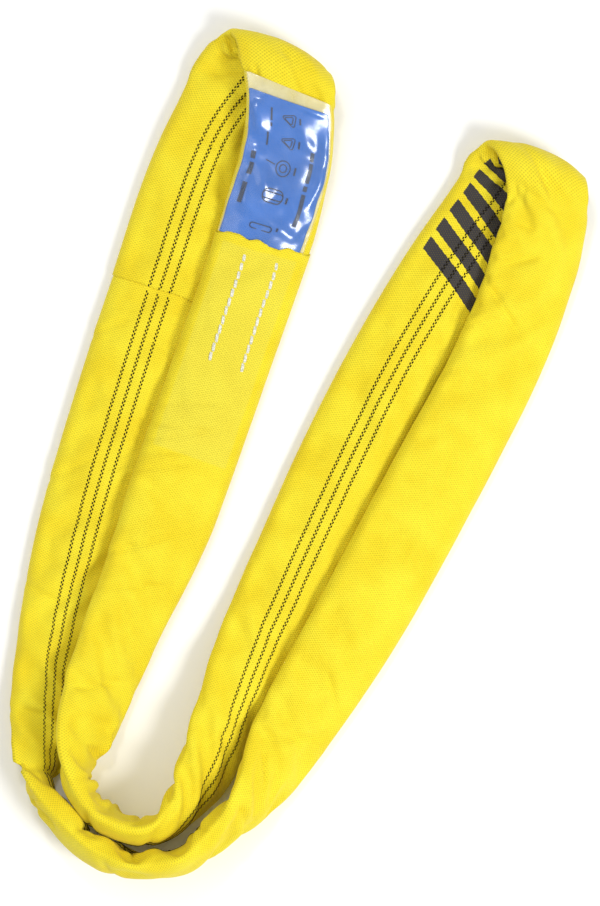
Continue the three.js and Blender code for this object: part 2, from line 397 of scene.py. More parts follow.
# Sharp folds pressed in by storage: side, row and x at both ends, depth and reach in millimetres
CREASES = (
    (-1, 16.35, -0.95, 16.25, 0.5, 2.7, 3.0), (-1, 16.6, -0.9, 16.45, 0.1, 1.9, 2.5),
    (-1, 17.95, -0.95, 17.6, 0.85, 2.6, 3.0), (-1, 17.1, 0.4, 17.35, 0.9, 1.9, 2.0),
    (-1, 19.3, -0.9, 18.9, 0.6, 3.2, 4.0), (-1, 20.2, -0.3, 20.6, 0.9, 4.2, 4.0),
    (-1, 21.1, -0.7, 21.4, 0.9, 5.9, 2.2), (-1, 21.75, -0.6, 21.7, 0.8, 5.0, 2.0),
    (-1, 22.7, -0.5, 22.5, 0.9, 3.6, 2.6), (-1, 23.9, -0.6, 24.2, 0.8, 4.2, 2.6),
    (1, 22.1, -0.9, 22.9, 0.5, 3.4, 3.5), (1, 24.6, -0.9, 24.1, 0.6, 3.0, 3.5),
    (1, 26.4, -0.6, 27.0, 0.5, 1.4, 4.0), (1, 28.2, -0.2, 28.0, 0.8, 1.2, 3.0),
    (-1, 40.0, -0.85, 39.5, 0.25, 3.6, 3.0), (-1, 40.15, -0.95, 40.5, 0.35, 3.2, 3.0),
    (-1, 40.5, -0.95, 40.35, -0.3, 2.6, 2.5), (-1, 40.8, -0.9, 40.75, -0.4, 2.3, 3.0),
    (-1, 43.3, -0.1, 43.8, 0.65, 2.6, 3.0), (-1, 44.8, -0.7, 44.1, 0.85, 3.0, 4.0),
    (-1, 45.1, -0.6, 45.8, -0.2, 4.2, 3.0), (-1, 46.3, -0.9, 46.6, 0.5, 3.6, 3.5),
    (1, 47.2, -0.9, 47.6, 0.6, 3.6, 3.0), (1, 48.9, -0.9, 49.3, 0.5, 3.6, 3.0),
    (-1, 49.6, -0.9, 49.2, 0.6, 3.2, 4.0), (1, 50.4, -0.9, 50.1, 0.7, 3.2, 3.4),
    (-1, 51.6, -0.9, 51.3, 0.5, 2.7, 3.5), (1, 52.3, -0.9, 52.0, 0.8, 3.4, 3.6),
    (1, 53.4, -0.95, 53.3, 0.7, 3.6, 3.0), (1, 54.9, -0.95, 54.7, 0.1, 2.0, 3.0),
    (1, 5.3, -0.3, 5.1, 0.9, 2.0, 3.0), (1, 6.4, -0.5, 6.1, 0.8, 2.3, 3.0),
    (1, 8.3, -0.95, 7.3, -0.1, 4.2, 2.4), (1, 8.9, -0.9, 8.1, 0.3, 4.2, 2.2),
    (1, 7.6, -0.98, 6.9, -0.5, 3.2, 2.4), (1, 34.4, -0.9, 33.4, 0.0, 3.6, 2.4),
    (1, 34.9, -0.8, 34.1, 0.4, 3.6, 2.2), (-1, 37.3, -0.8, 38.2, 0.4, 3.2, 3.5),
    (1, 7.9, -0.7, 6.9, 0.3, 3.0, 1.8), (1, 8.5, -0.5, 7.6, 0.5, 2.7, 1.6),
    (1, 9.0, -0.98, 8.4, -0.3, 2.7, 1.6), (1, 6.9, -0.2, 6.2, 0.7, 2.2, 2.0),
    (1, 5.9, -0.9, 5.6, 0.2, 2.2, 3.0), (-1, 10.2, -0.3, 11.0, 0.6, 2.2, 3.4),
    (1, 33.9, -0.95, 33.0, -0.1, 3.2, 1.8), (1, 34.7, -0.98, 34.0, -0.3, 3.0, 1.8),
    (1, 33.2, -0.3, 32.5, 0.5, 2.2, 2.2), (1, 35.2, -0.9, 34.6, -0.2, 2.7, 1.6),
    (-1, 36.9, -0.3, 37.6, 0.7, 2.4, 3.6), (-1, 38.8, -0.7, 38.9, 0.2, 2.7, 3.4),
    (-1, 16.2, -0.98, 15.95, 0.7, 1.8, 2.2), (-1, 16.5, -0.98, 16.15, 0.8, 2.2, 2.2),
    (-1, 16.75, -0.9, 16.5, 0.3, 1.8, 2.4), (-1, 17.6, -0.98, 17.0, 0.7, 2.8, 2.6),
    (1, 56.6, -0.98, 56.8, -0.2, 1.8, 2.6), (1, 55.7, -0.98, 56.0, 0.1, 2.0, 3.0),
    (1, 2.7, 0.1, 2.6, 0.95, 1.6, 2.0), (1, 1.9, 0.2, 2.0, 0.95, 1.8, 2.4),
    (1, 5.0, 0.3, 4.6, 0.98, 1.8, 2.2), (1, 4.3, 0.4, 4.2, 0.98, 1.6, 2.2),
    # corners that stand out: negative depths
    (1, 6.0, -0.99, 8.0, -0.99, -5.0, 12.0), (-1, 19.6, 0.5, 21.3, 0.5, -6.0, 9.0),
    (1, 32.6, -0.99, 34.0, -0.99, -2.5, 8.0), (1, 48.4, -0.55, 50.6, -0.55, -3.0, 14.0),
    (1, 49.8, -0.6, 52.0, -0.6, -4.2, 14.0), (1, 51.2, -0.6, 52.5, -0.5, -2.2, 14.0),
)


VALLEY_SHARE = 1.35  # depth of a fold before its own swelling fills some of it
SWELLING = 0.5  # height of the swelling, as a share of the depth
EDGE_REACH = 2.5 * MM  # of the ridge that runs along the crown and foot edges


def crease(grid):
    """The folds pressed into a grid of the fabric: a sharp valley with a low swelling beside it."""
    rows, cols = grid.shape[:2]
    s = (np.arange(rows) / rows * LOOP)[:, None]
    q = (np.arange(cols) / cols * GIRTH)[None, :]
    down = np.zeros((rows, cols))
    for side, row_a, x_a, row_b, x_b, depth, reach in CREASES:
        s_a, s_b = length_at(row_a), length_at(row_b)
        q_a, q_b = q_at(x_a, side), q_at(x_b, side)
        ds, dq = s_b - s_a, q_b - q_a
        from_s = (s - s_a + LOOP / 2) % LOOP - LOOP / 2
        from_q = (q - q_a + GIRTH / 2) % GIRTH - GIRTH / 2
        size = math.hypot(ds, dq)
        t = (from_s * ds + from_q * dq) / size ** 2
        off = np.abs(from_s * dq - from_q * ds) / size / (reach * MM)
        fade = np.exp(-((t - 0.4) / 0.42) ** 4)
        pressed = depth * (VALLEY_SHARE if depth > 0 else 1.0) * MM
        down += pressed * fade * (np.exp(-off * 1.3) - SWELLING * np.exp(-(off / 2.2) ** 2))
    place = place_at(s[:, 0])
    crown = np.minimum(q, GIRTH - q) / EDGE_REACH
    foot = np.abs(q - GIRTH / 2) / EDGE_REACH
    standing = (0.6 + 1.4 * within(place, BENDS, 1.5))[:, None] * MM
    down -= standing * np.exp(-crown) + 0.6 * MM * np.exp(-foot)
    moved = grid - Skin(grid).normals * down[..., None]
    moved[..., 2] = np.maximum(moved[..., 2], FLOOR)
    return moved


SKIN = Skin(crease(refine(drape())))


# ---------------------------------------------------------------- materials
def new_material(name, roughness):
    material = bpy.data.materials.new(name)
    material.use_nodes = True
    tree = material.node_tree
    shader = tree.nodes["Principled BSDF"]
    shader.inputs["Roughness"].default_value = roughness
    return material, Wiring(tree), shader


class Wiring:
    """Short names for the nodes that the materials are made of."""

    def __init__(self, tree):
        self.tree = tree

    def link(self, source, socket):
        if isinstance(source, bpy.types.NodeSocket):
            self.tree.links.new(source, socket)
        else:
            socket.default_value = source

    def math(self, operation, *values, clamp=False):
        made = self.tree.nodes.new("ShaderNodeMath")
        made.operation = operation
        made.use_clamp = clamp
        for socket, value in zip(made.inputs, values):
            self.link(value, socket)
        return made.outputs[0]

    def add(self, a, b):
        return self.math("ADD", a, b)

    def sub(self, a, b):
        return self.math("SUBTRACT", a, b)

    def mul(self, a, b):
        return self.math("MULTIPLY", a, b)

    def wave(self, value, pitch):
        """Sine of the given pitch, from -1 to 1."""
        return self.math("SINE", self.mul(value, 2 * math.pi / pitch))

    def level(self, value, low, high, to_low=0.0, to_high=1.0):
        made = self.tree.nodes.new("ShaderNodeMapRange")
        for socket, number in zip(made.inputs, (value, low, high, to_low, to_high)):
            self.link(number, socket)
        return made.outputs[0]

    def inside(self, value, low, high, soft):
        """1 between low and high, fading to 0 over soft on both sides."""
        off = self.math("ABSOLUTE", self.sub(value, (low + high) / 2))
        return self.math("DIVIDE", self.sub((high - low) / 2 + soft, off), soft, clamp=True)

    def noise(self, where, scale, detail=3.0):
        made = self.tree.nodes.new("ShaderNodeTexNoise")
        self.link(where, made.inputs["Vector"])
        made.inputs["Scale"].default_value = scale
        made.inputs["Detail"].default_value = detail
        return made.outputs["Fac"]

    def mix(self, factor, a, b, blend="MIX"):
        made = self.tree.nodes.new("ShaderNodeMixRGB")
        made.blend_type = blend
        for socket, value in zip(made.inputs, (factor, a, b)):
            self.link(value, socket)
        return made.outputs[0]

    def uv(self, name="Weave"):
        made = self.tree.nodes.new("ShaderNodeUVMap")
        made.uv_map = name
        parts = self.tree.nodes.new("ShaderNodeSeparateXYZ")
        self.tree.links.new(made.outputs[0], parts.inputs[0])
        return made.outputs[0], parts.outputs[0], parts.outputs[1]

    def position(self):
        return self.tree.nodes.new("ShaderNodeTexCoord").outputs["Object"]

    def bump(self, height, distance, strength, shader):
        made = self.tree.nodes.new("ShaderNodeBump")
        made.inputs["Strength"].default_value = strength
        made.inputs["Distance"].default_value = distance
        self.link(height, made.inputs["Height"])
        self.tree.links.new(made.outputs[0], shader.inputs["Normal"])


BRIGHT = (0.90, 0.755, 0.022, 1)
DEEP = (0.85, 0.665, 0.010, 1)
DULL = (0.78, 0.69, 0.060, 1)
INK = (0.038, 0.034, 0.036, 1)
BAR_PITCH = 13.5  # of the printed bars, in millimetres
PRINT = {
    "first": round(length_at(30.75) / BAR_PITCH / MM) - 3, "bars": 11, "pitch": BAR_PITCH * MM,
    "bar": 0.64,  # share of the pitch that is inked
    "slope": 0.34,
}
PRINT_EDGES = (0.545 * GIRTH, 0.93 * GIRTH)


def cover_material():
    material, w, shader = new_material("woven_cover", 0.7)
    where, q, s = w.uv()

    # plain weave with pronounced ribs across the belt, stepped by half from one warp end to the next
    column = w.mul(q, 1 / (1.3 * MM))
    step = w.mul(w.math("FLOOR", column), 0.75 * MM)
    rib = w.wave(w.add(s, step), 1.5 * MM)
    ridge = w.math("ABSOLUTE", w.math("SINE", w.mul(column, math.pi)))
    weave = w.mul(rib, ridge)

    patches = w.noise(where, 35)
    yarns = w.noise(where, 900, 1.0)
    tint = w.mix(w.level(patches, 0.35, 0.65), DEEP, BRIGHT)
    tail = w.mul(
        w.inside(s, length_at(LABEL_TAIL[0]), length_at(LABEL_TAIL[1]), 1.5 * MM),
        w.inside(q, FACE_MIDDLE["plain"] - 24 * MM, FACE_MIDDLE["plain"] + 22 * MM, 1.5 * MM))
    tint = w.mix(w.mul(tail, 0.55), tint, DULL)
    # painted shade: the colour darkens to 0.7 in the low places of the weave, where the bump is low; a
    # random tone also varies from yarn to yarn
    weave_shade_and_yarn_tone = w.add(w.level(weave, -1, 0.2, 0.70, 1.0), w.level(yarns, 0.3, 0.7, -0.05, 0.05))
    tint = w.mix(1.0, tint, weave_shade_and_yarn_tone, "MULTIPLY")

    # slanted bars printed across the strip, with edges that follow the ribs
    ragged = w.mul(w.math("FLOOR", column), 0.35 * MM)
    run = w.add(w.sub(s, w.mul(q, PRINT["slope"])), w.mul(w.wave(ragged, 1.1 * MM), 0.15 * MM))
    bars = w.math("LESS_THAN", w.math("FRACT", w.mul(run, 1 / PRINT["pitch"])), PRINT["bar"])
    strip = w.inside(w.add(q, w.mul(rib, 0.12 * MM)), *PRINT_EDGES, 0.2 * MM)
    first = PRINT["pitch"] * PRINT["first"]
    last = first + PRINT["pitch"] * PRINT["bars"]
    printed = w.mul(w.mul(bars, strip), w.inside(run, first, last, 0.2 * MM))
    ink = w.mul(printed, w.level(weave, -1.0, -0.6, 0.8, 1.0))
    tint = w.mix(ink, tint, INK)

    w.link(tint, shader.inputs["Base Color"])
    w.link(w.level(weave, -1, 1, 0.82, 0.62), shader.inputs["Roughness"])
    w.bump(w.add(weave, w.mul(yarns, 0.5)), 0.3 * MM, 0.5, shader)
    shader.inputs["Sheen Weight"].default_value = 0.05
    shader.inputs["Specular IOR Level"].default_value = 0.3
    return material


def yarn_material(name, colour, shade, roughness, pitch, gloss=0.4):
    """Twisted yarn: two tones in fine lines, by place on the object."""
    material, w, shader = new_material(name, roughness)
    lines = w.noise(w.position(), 1 / pitch, 2.0)
    w.link(w.mix(w.level(lines, 0.35, 0.65), shade, colour), shader.inputs["Base Color"])
    w.bump(lines, 0.15 * MM, 0.5, shader)
    shader.inputs["Specular IOR Level"].default_value = gloss
    return material


def label_material():
    material, w, shader = new_material("label_card", 0.35)
    cloud = w.noise(w.position(), 45)
    colour = w.mix(w.level(cloud, 0.3, 0.7), (0.006, 0.11, 0.43, 1), (0.010, 0.145, 0.56, 1))
    w.link(colour, shader.inputs["Base Color"])
    w.bump(w.noise(w.position(), 60), 0.5 * MM, 0.25, shader)
    shader.inputs["Specular IOR Level"].default_value = 0.25
    shader.inputs["Coat Weight"].default_value = 1.0
    shader.inputs["Coat Roughness"].default_value = 0.17
    shader.inputs["Coat IOR"].default_value = 1.6
    return material


def film_material(name, colour, alpha):
    material, w, shader = new_material(name, 0.12)
    haze = w.noise(w.position(), 90)
    w.link(w.mix(w.mul(haze, 0.3), colour, (1, 1, 1, 1)), shader.inputs["Base Color"])
    w.link(w.level(haze, 0.3, 0.7, alpha * 0.8, alpha * 1.2), shader.inputs["Alpha"])
    shader.inputs["Coat Weight"].default_value = 1.0
    shader.inputs["Coat Roughness"].default_value = 0.09
    shader.inputs["Coat IOR"].default_value = 1.6
    return material


COVER = cover_material()
TRACER = yarn_material(
    "tracer_yarn", (0.022, 0.017, 0.006, 1), (0.008, 0.006, 0.003, 1), 0.85, 0.5 * MM, gloss=0.12)
THREAD = yarn_material("stitch_thread", (0.90, 0.89, 0.80, 1), (0.50, 0.50, 0.38, 1), 0.6, 0.9 * MM)
YARN = yarn_material("core_yarn", (0.80, 0.77, 0.66, 1), (0.62, 0.58, 0.48, 1), 0.5, 0.8 * MM)
TAPE = yarn_material("core_tape", (0.62, 0.58, 0.46, 1), (0.50, 0.46, 0.36, 1), 0.35, 2 * MM)
CARD = label_material()
MARKS = yarn_material("label_ink", (0.012, 0.03, 0.075, 1), (0.02, 0.045, 0.10, 1), 0.5, 3 * MM)
FRONT_FILM = film_material("front_film", (0.90, 0.93, 0.96, 1), 0.03)
BACK_FILM = film_material("back_film", (0.90, 0.83, 0.42, 1), 0.42)


# ---------------------------------------------------------------- the two cover lengths
COVERING = {"joint": 0.2 * MM, "main": 0.45 * MM}  # lift of an end that covers the other length
COVERED = -2.1 * MM
AT_HEM = -0.5 * MM  # lift of the covered length where it goes under the hem
HEM_THICK = {"joint": 0.45 * MM, "main": 0.7 * MM}
OVER_LABEL = 1.0 * MM  # more lift of the hem where the pouch goes under it
UNDER_HEM_2 = 14.35  # row from which the joint cover lies under the main one
FINE_STEP = 1.6 * MM
FINE_AROUND = 2 * AROUND
RING_Q = np.arange(FINE_AROUND) / FINE_AROUND * GIRTH


def ramp(place, start, end, low, high):
    return low + (high - low) * np.clip((place - start) / (end - start), 0, 1)


def going_under(place, hem):
    """Lift of a length that goes under the other's hem."""
    return ramp(place, hem - 0.25, hem, 0, AT_HEM) + ramp(place, hem, hem + 0.4, 0, COVERED - AT_HEM)


def joint_lift(place):
    return np.where(place < 8, ramp(place, 5, 6, COVERING["joint"], 0), going_under(place, UNDER_HEM_2))


def main_lift(place):
    covering = ramp(place, 17, 18, COVERING["main"], 0)
    return np.where(place < ROWS / 2, covering, going_under(place, ROWS + JOINT_COVER[0]))


def over_label(run, q):
    """More lift over the pouch, fading out away from the hem."""
    off = np.abs(q - FACE_MIDDLE["plain"] + 1 * MM)
    return OVER_LABEL * np.clip((33 * MM - off) / (7 * MM), 0, 1) * np.exp(-run / (14 * MM))


def make_cover(name, kind, node, span, lift, waves):
    """One length of the woven tube. Its covering end has a turned-in lip, and a wavy edge."""
    start, end = length_at(span[0]), length_at(span[1])
    run = np.linspace(0, end - start, round((end - start) / FINE_STEP) + 1)
    lip = np.array([4 * MM, 2 * MM, 0.3 * MM, 0.0])
    sunk = np.concatenate([HEM_THICK[kind] * np.array([1, 1, 1, 0.6]), np.zeros(len(run))])
    run = np.concatenate([lip, run])
    wave = sum(size * np.sin(turns * 2 * math.pi * RING_Q / GIRTH + phase) for size, turns, phase in waves)
    s = start + run[:, None] + wave[None, :] * np.exp(-run / (9 * MM))[:, None]
    q = np.broadcast_to(RING_Q[None, :], s.shape)
    height = (lift(place_at(start + run)) - sunk)[:, None]
    if kind == "main":
        height = height + over_label(run[:, None], q)
    points = SKIN.at(s, q, height)
    points[..., 2] = np.maximum(points[..., 2], 0)
    obj = sling_piece(name, points, grid_faces(len(run), FINE_AROUND, True), COVER, "cover", (node,))
    set_seam_uv(obj, len(run), s)
    return obj


def set_seam_uv(obj, rows, s):
    """UV in metres for a closed grid: q grows past the seam instead of jumping back."""
    i, j = np.meshgrid(np.arange(rows - 1), np.arange(FINE_AROUND), indexing="ij")
    q0, q1 = j / FINE_AROUND * GIRTH, (j + 1) / FINE_AROUND * GIRTH
    after = (j + 1) % FINE_AROUND
    corners = [q0, s[i, j], q0, s[i + 1, j], q1, s[i + 1, after], q1, s[i, after]]
    layer = obj.data.uv_layers.new(name="Weave")
    layer.data.foreach_set("uv", np.stack(corners, axis=-1).ravel())


HEM_1_WAVES = ((0.25 * MM, 5, 0.0), (0.3 * MM, 3, 1.0))
HEM_2_WAVES = ((0.8 * MM, 7, 0.6), (0.5 * MM, 3, 2.0), (0.5 * MM, 13, 0.0))
HEM_2 = MAIN_COVER[0] - 0.14  # the hem reaches over the seam of the pouch
make_cover("cover_main", "main", "main_cover", (HEM_2, MAIN_COVER[1]), main_lift, HEM_2_WAVES)
make_cover("cover_joint", "joint", "joint_cover", JOINT_COVER, joint_lift, HEM_1_WAVES)


# ---------------------------------------------------------------- tracer yarns
TRACER_PITCH = 7 * MM
TRACER_SHIFT = 2 * MM  # of the middle line towards the foot edge
FLOAT_STEP = 1.25 * MM
FLOAT_OUTLINE = ((-0.8, 0.0), (-0.55, -0.44), (0.55, -0.44), (0.8, 0.0), (0.55, 0.44), (-0.55, 0.44))


def make_tracer(name, node, span, lift, q):
    """Short dark floats, left and right by turns, standing just proud of the weave."""
    start, end = length_at(span[0]), length_at(span[1])
    count = int((end - start) / FLOAT_STEP)
    s = start + (np.arange(count) + 0.5) * FLOAT_STEP
    side = np.where(np.arange(count) % 2 == 0, 1, -1)
    base = lift(place_at(s))
    rings = []
    for share, proud in ((1.0, -0.05), (0.97, 0.14), (0.7, 0.26)):
        for along, aside in FLOAT_OUTLINE:
            offset = (0.52 * side + (aside + 0.15 * along * side) * share) * MM
            rings.append(SKIN.at(s + along * share * MM, q + offset, base + proud * MM))
    points = np.stack(rings, axis=1)
    size = len(FLOAT_OUTLINE)
    cell = [[r * size + k, r * size + (k + 1) % size, (r + 1) * size + (k + 1) % size, (r + 1) * size + k]
            for r in (0, 1) for k in range(size)]
    cell.append([2 * size + k for k in range(size)])
    faces = [[n * 3 * size + k for k in f] for n in range(count) for f in cell]
    sling_piece(name, points, faces, TRACER, "tracer", (node,))


for k in (-1, 0, 1):
    q = FACE_MIDDLE["marked"] - TRACER_SHIFT - k * TRACER_PITCH
    on_main = (MAIN_COVER[0], ROWS + JOINT_COVER[0] - 0.02)
    on_joint = (JOINT_COVER[0], MAIN_COVER[0] - 0.05)
    make_tracer(f"tracer_main_{k + 2}", f"main_tracer_{k + 2}", on_main, main_lift, q)
    make_tracer(f"tracer_joint_{k + 2}", f"joint_tracer_{k + 2}", on_joint, joint_lift, q)


# ---------------------------------------------------------------- core
YARN_PLACES = (-0.6, -0.3, 0.0, 0.3, 0.6)
YARN_SHARE = 0.27  # radius of a bundle over the belt's half thickness
TWIST = 28 * MM  # length of one turn of the strands
STRANDS = 3
YARN_STATIONS = 480
TAPE_AROUND = 32


def tube_along(centre, side, up, radius, around):
    """Closed loop of a round strand: centre, two directions and a radius at each station."""
    turn = np.arange(around) / around * 2 * math.pi
    ring = side[:, None] * np.cos(turn)[None, :, None] + up[:, None] * np.sin(turn)[None, :, None]
    points = centre[:, None] + ring * np.reshape(radius, (-1, 1, 1))
    faces = grid_faces(len(centre) + 1, around, True) % (len(centre) * around)
    return points, faces


def soften(values, passes):
    for _ in range(passes):
        values = (np.roll(values, 1, axis=0) + 2 * values + np.roll(values, -1, axis=0)) / 4
    return values


def make_yarn(number, x):
    """Three strands twisted round the middle between the two faces of the fabric."""
    run = np.arange(YARN_STATIONS) / YARN_STATIONS * LOOP
    _, across, normal, _, half_thick = frames(place_at(run))
    faces_at = [SKIN.at(run, float(q_at(x, side)), 0.0) for side in (-1, 1)]
    centre = soften((faces_at[0] + faces_at[1]) / 2, 2)
    space = np.linalg.norm(faces_at[1] - faces_at[0], axis=1) / 2
    space = np.minimum.reduce([space, np.roll(space, 1), np.roll(space, -1)])
    radius = soften(np.minimum(YARN_SHARE * half_thick, 0.5 * space), 3)
    strands = []
    turns = round(LOOP / TWIST)
    for k in range(STRANDS):
        angle = 2 * math.pi * (turns * run / LOOP + k / STRANDS)
        orbit = across * np.cos(angle)[:, None] + normal * np.sin(angle)[:, None]
        path = centre + orbit * (radius * 0.5)[:, None]
        strands.append(tube_along(path, across, normal, radius * 0.52, 6))
    points, faces = joined(strands)
    sling_piece(f"yarn_{number}", points, faces, YARN, "core", (f"core_yarn_{number}",))


def make_tape():
    """Band of tape round all the yarns, over their ends."""
    place = np.linspace(*CORE_TAPE, 14)
    mid, across, normal, half_width, half_thick = frames(place)
    turn = np.arange(TAPE_AROUND) / TAPE_AROUND * 2 * math.pi
    wide = (YARN_PLACES[-1] * half_width + 1.6 * YARN_SHARE * half_thick)[:, None, None]
    high = (1.35 * YARN_SHARE * half_thick)[:, None, None]
    sideways = across[:, None] * np.cos(turn)[None, :, None] * wide
    loop = sideways + normal[:, None] * np.sin(turn)[None, :, None] * high
    outer, inner = mid[:, None] + loop, mid[:, None] + loop * 0.93
    rows = np.concatenate([outer, inner[::-1], outer[:1]])
    sling_piece("yarn_tape", rows, grid_faces(len(rows), TAPE_AROUND, True), TAPE, "tape", ("core_tape",))


for number, x in enumerate(YARN_PLACES, 1):
    make_yarn(number, x)
make_tape()


# ---------------------------------------------------------------- label in its film pouch
LABEL_X = (-0.92, 0.76)
FILM_X = (-0.95, 0.84)
LABEL_FLATTEN = 0.5
BACK_LIFT, CARD_LIFT, FRONT_LIFT = 0.35 * MM, 0.95 * MM, 1.9 * MM
FILM_THICK, CARD_THICK = 0.15 * MM, 0.3 * MM
FILM_CORNER, CARD_CORNER = 0.08, 0.05  # cut off the upper corners, as a share of half the width
LABEL_ROWS, LABEL_COLS = 110, 64

# Buckles of the pouch: v and x at both ends, height and reach in millimetres
BUCKLES = (
    (0.20, -0.74, 0.40, -0.64, 2.4, 4.0), (0.50, -0.72, 0.74, -0.25, 3.0, 4.6),
    (0.64, -0.74, 0.82, -0.55, 2.0, 3.4), (0.80, -0.75, 0.93, 0.60, 2.4, 3.4),
    (0.90, -0.45, 0.98, 0.45, 1.3, 2.2), (0.30, 0.70, 0.75, 0.62, 1.6, 2.8),
    (0.72, 0.15, 0.86, 0.60, 1.5, 3.6), (0.24, 0.10, 0.44, 0.35, 0.8, 4.0),
    (0.56, -0.60, 0.66, -0.15, -1.6, 3.4), (0.10, -0.30, 0.16, 0.60, 0.9, 3.0),
)


def smooth_step(t):
    t = np.clip(t, 0, 1)
    return t * t * (3 - 2 * t)


def ripple(v, x, share):
    """Height of the buckled pouch over its plain shape: v is 0 at its top and 1 at the seam."""
    wide, high = 26.0, 86.0  # millimetres for one unit of x and of v
    drift = 0.9 * np.sin(5.1 * v + 1.2 * x + 0.6)
    rise = (0.10 + 0.30 * smooth_step((v - 0.25) / 0.3)) * np.sin(31 * v + 4.5 * x + 2 * drift)
    rise = rise * np.sin(11 * x - 6 * v + 3 * drift)
    for v_a, x_a, v_b, x_b, height, reach in BUCKLES:
        dv, dx = (v_b - v_a) * high, (x_b - x_a) * wide
        size = math.hypot(dv, dx)
        from_v, from_x = (v - v_a) * high, (x - x_a) * wide
        t = (from_v * dv + from_x * dx) / size ** 2
        off = (from_v * dx - from_x * dv) / size / reach
        rise = rise + height * np.exp(-((t - 0.5) / 0.5) ** 4) * np.exp(-off * off)
    return share * MM * rise * (1 - 0.9 * smooth_step((v - 0.9) / 0.1))


def on_label(v, x, lift):
    """Point of the pouch at v from the top of the film and x across the belt. Towards the seam it
    is pressed down on the fabric, to go under the hem."""
    pressed = smooth_step((v - 0.72) / 0.28)[:, None]
    place = FILM[0] + (FILM[1] - FILM[0]) * v
    lift = lift * (1 - 0.6 * pressed)
    return surface(place, x, np.full(len(x), -1), lift, LABEL_FLATTEN * (1 - 0.8 * pressed))


def sheet_shape(high, low):
    """Closed thin sheet between two grids of points."""
    rows, cols = high.shape[:2]
    round_count = 2 * cols
    faces = grid_faces(rows, round_count, True).tolist()
    faces += [[j, j + 1, round_count - 2 - j, round_count - 1 - j] for j in range(cols - 1)]
    last = (rows - 1) * round_count
    faces += [[last + round_count - 1 - j, last + round_count - 2 - j, last + j + 1, last + j]
              for j in range(cols - 1)]
    return np.concatenate([high, low[:, ::-1]], axis=1), faces


def label_sheet(name, node, material, slot, top, span_x, lift, thick, ripple_size, corner):
    """Thin closed sheet on the plain face, from v = top to the seam, with rounded upper corners."""
    v = np.linspace(top, 1, LABEL_ROWS)
    x = np.linspace(*span_x, LABEL_COLS)
    vv, xx = np.meshgrid(v, x, indexing="ij")
    edge = np.minimum(xx - span_x[0], span_x[1] - xx)
    height = lift + ripple(vv, xx, ripple_size)
    low = on_label(v, x, height)
    high = on_label(v, x, height + thick)
    lower = np.clip((corner - edge) / corner, 0, 1) ** 2 * np.clip((top + 0.03 - vv) / 0.03, 0, 1)
    drop = (low[1:2] - low[:1]) * 1.2
    low = low + lower[..., None] * drop
    high = high + lower[..., None] * drop
    return new_piece(name, *sheet_shape(high, low), material, slot, (node,))


def bend_at_seam(obj):
    """Bakes the object's transform into its mesh; the seam's points are read but not used, so the pouch is
    not bent here.
    """
    seam = on_label(np.array([0.97, 0.87]), np.array([0.0]), 0.0)[:, 0]
    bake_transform(obj)


CARD_TOP = (LABEL[0] - FILM[0]) / (FILM[1] - FILM[0])
back = label_sheet(
    "film_back", "pouch_back", BACK_FILM, "film", 0.0, FILM_X, BACK_LIFT, FILM_THICK, 0.0, FILM_CORNER)
card = label_sheet(
    "label_card", "label", CARD, "label", CARD_TOP, LABEL_X, CARD_LIFT, CARD_THICK, 1.0, CARD_CORNER)
front = label_sheet(
    "film_front", "pouch_front", FRONT_FILM, "film", 0.0, FILM_X, FRONT_LIFT, FILM_THICK, 1.0, FILM_CORNER)


# ---------------------------------------------------------------- generic marks on the label
def arc_points(centre, radius, start, end, steps=10):
    turn = np.radians(np.linspace(start, end, steps))
    return [(centre[0] + radius * math.cos(t), centre[1] + radius * math.sin(t)) for t in turn]


def rounded(corners, radius):
    """Closed outline round the corners, in millimetres, going anticlockwise."""
    points = []
    count = len(corners)
    for k in range(count):
        before, here, after = (np.array(corners[(k + d) % count], float) for d in (-1, 0, 1))
        come = math.degrees(math.atan2(*(here - before)[::-1]))
        leave = math.degrees(math.atan2(*(after - here)[::-1]))
        turn = (leave - come) % 360
        inward = unit(unit(before - here) + unit(after - here))
        reach = radius / math.cos(math.radians(turn / 2))
        points += arc_points(here + inward * reach, radius, come - 90, come - 90 + turn)
    return points + points[:1]


def ribbon(points, width):
    """Flat strip of the given width along points, as left and right rows."""
    points = np.array(points, float)
    ahead = unit(np.gradient(points, axis=0))
    aside = np.stack([-ahead[:, 1], ahead[:, 0]], axis=1) * width / 2
    return points + aside, points - aside


def bar(x, y0, y1, width):
    return [(x, y0 + (y1 - y0) * t) for t in np.linspace(0, 1, 8)], width


MARK_MIDDLE = 23.0  # across the label, in millimetres like all the places below
LINE = 0.55  # width of an outline
MARK_FIELD = (47.0, 84.0)  # width and height of the label that the places count on

# Rows of bars: place across, (start, end) of each bar down the label, and width
BARS = (
    (38.0, ((31, 37), (38.5, 49), (50.5, 53), (54.5, 70)), 2.2),
    (6.2, ((40, 44), (46, 52), (56, 66)), 2.8),
    (13.2, ((9, 17), (18.5, 21)), 1.0),
    (11.6, ((25, 34),), 1.0),
    (29.8, ((11, 15), (26, 31), (43, 47), (58, 61), (73, 75)), 1.0),
)


def basket(x, y, size):
    """Outline of a sling hung as a triangle."""
    corners = [
        (x - 4.4 * size, y - 1.5 * size), (x + 4.6 * size, y - 4.4 * size), (x + 3.2 * size, y + 4.6 * size)]
    return rounded(corners, 1.1 * size)


def slot_outline(left, right, top, bottom, radius):
    return rounded([(left, top), (right, top), (right, bottom), (left, bottom)], radius)


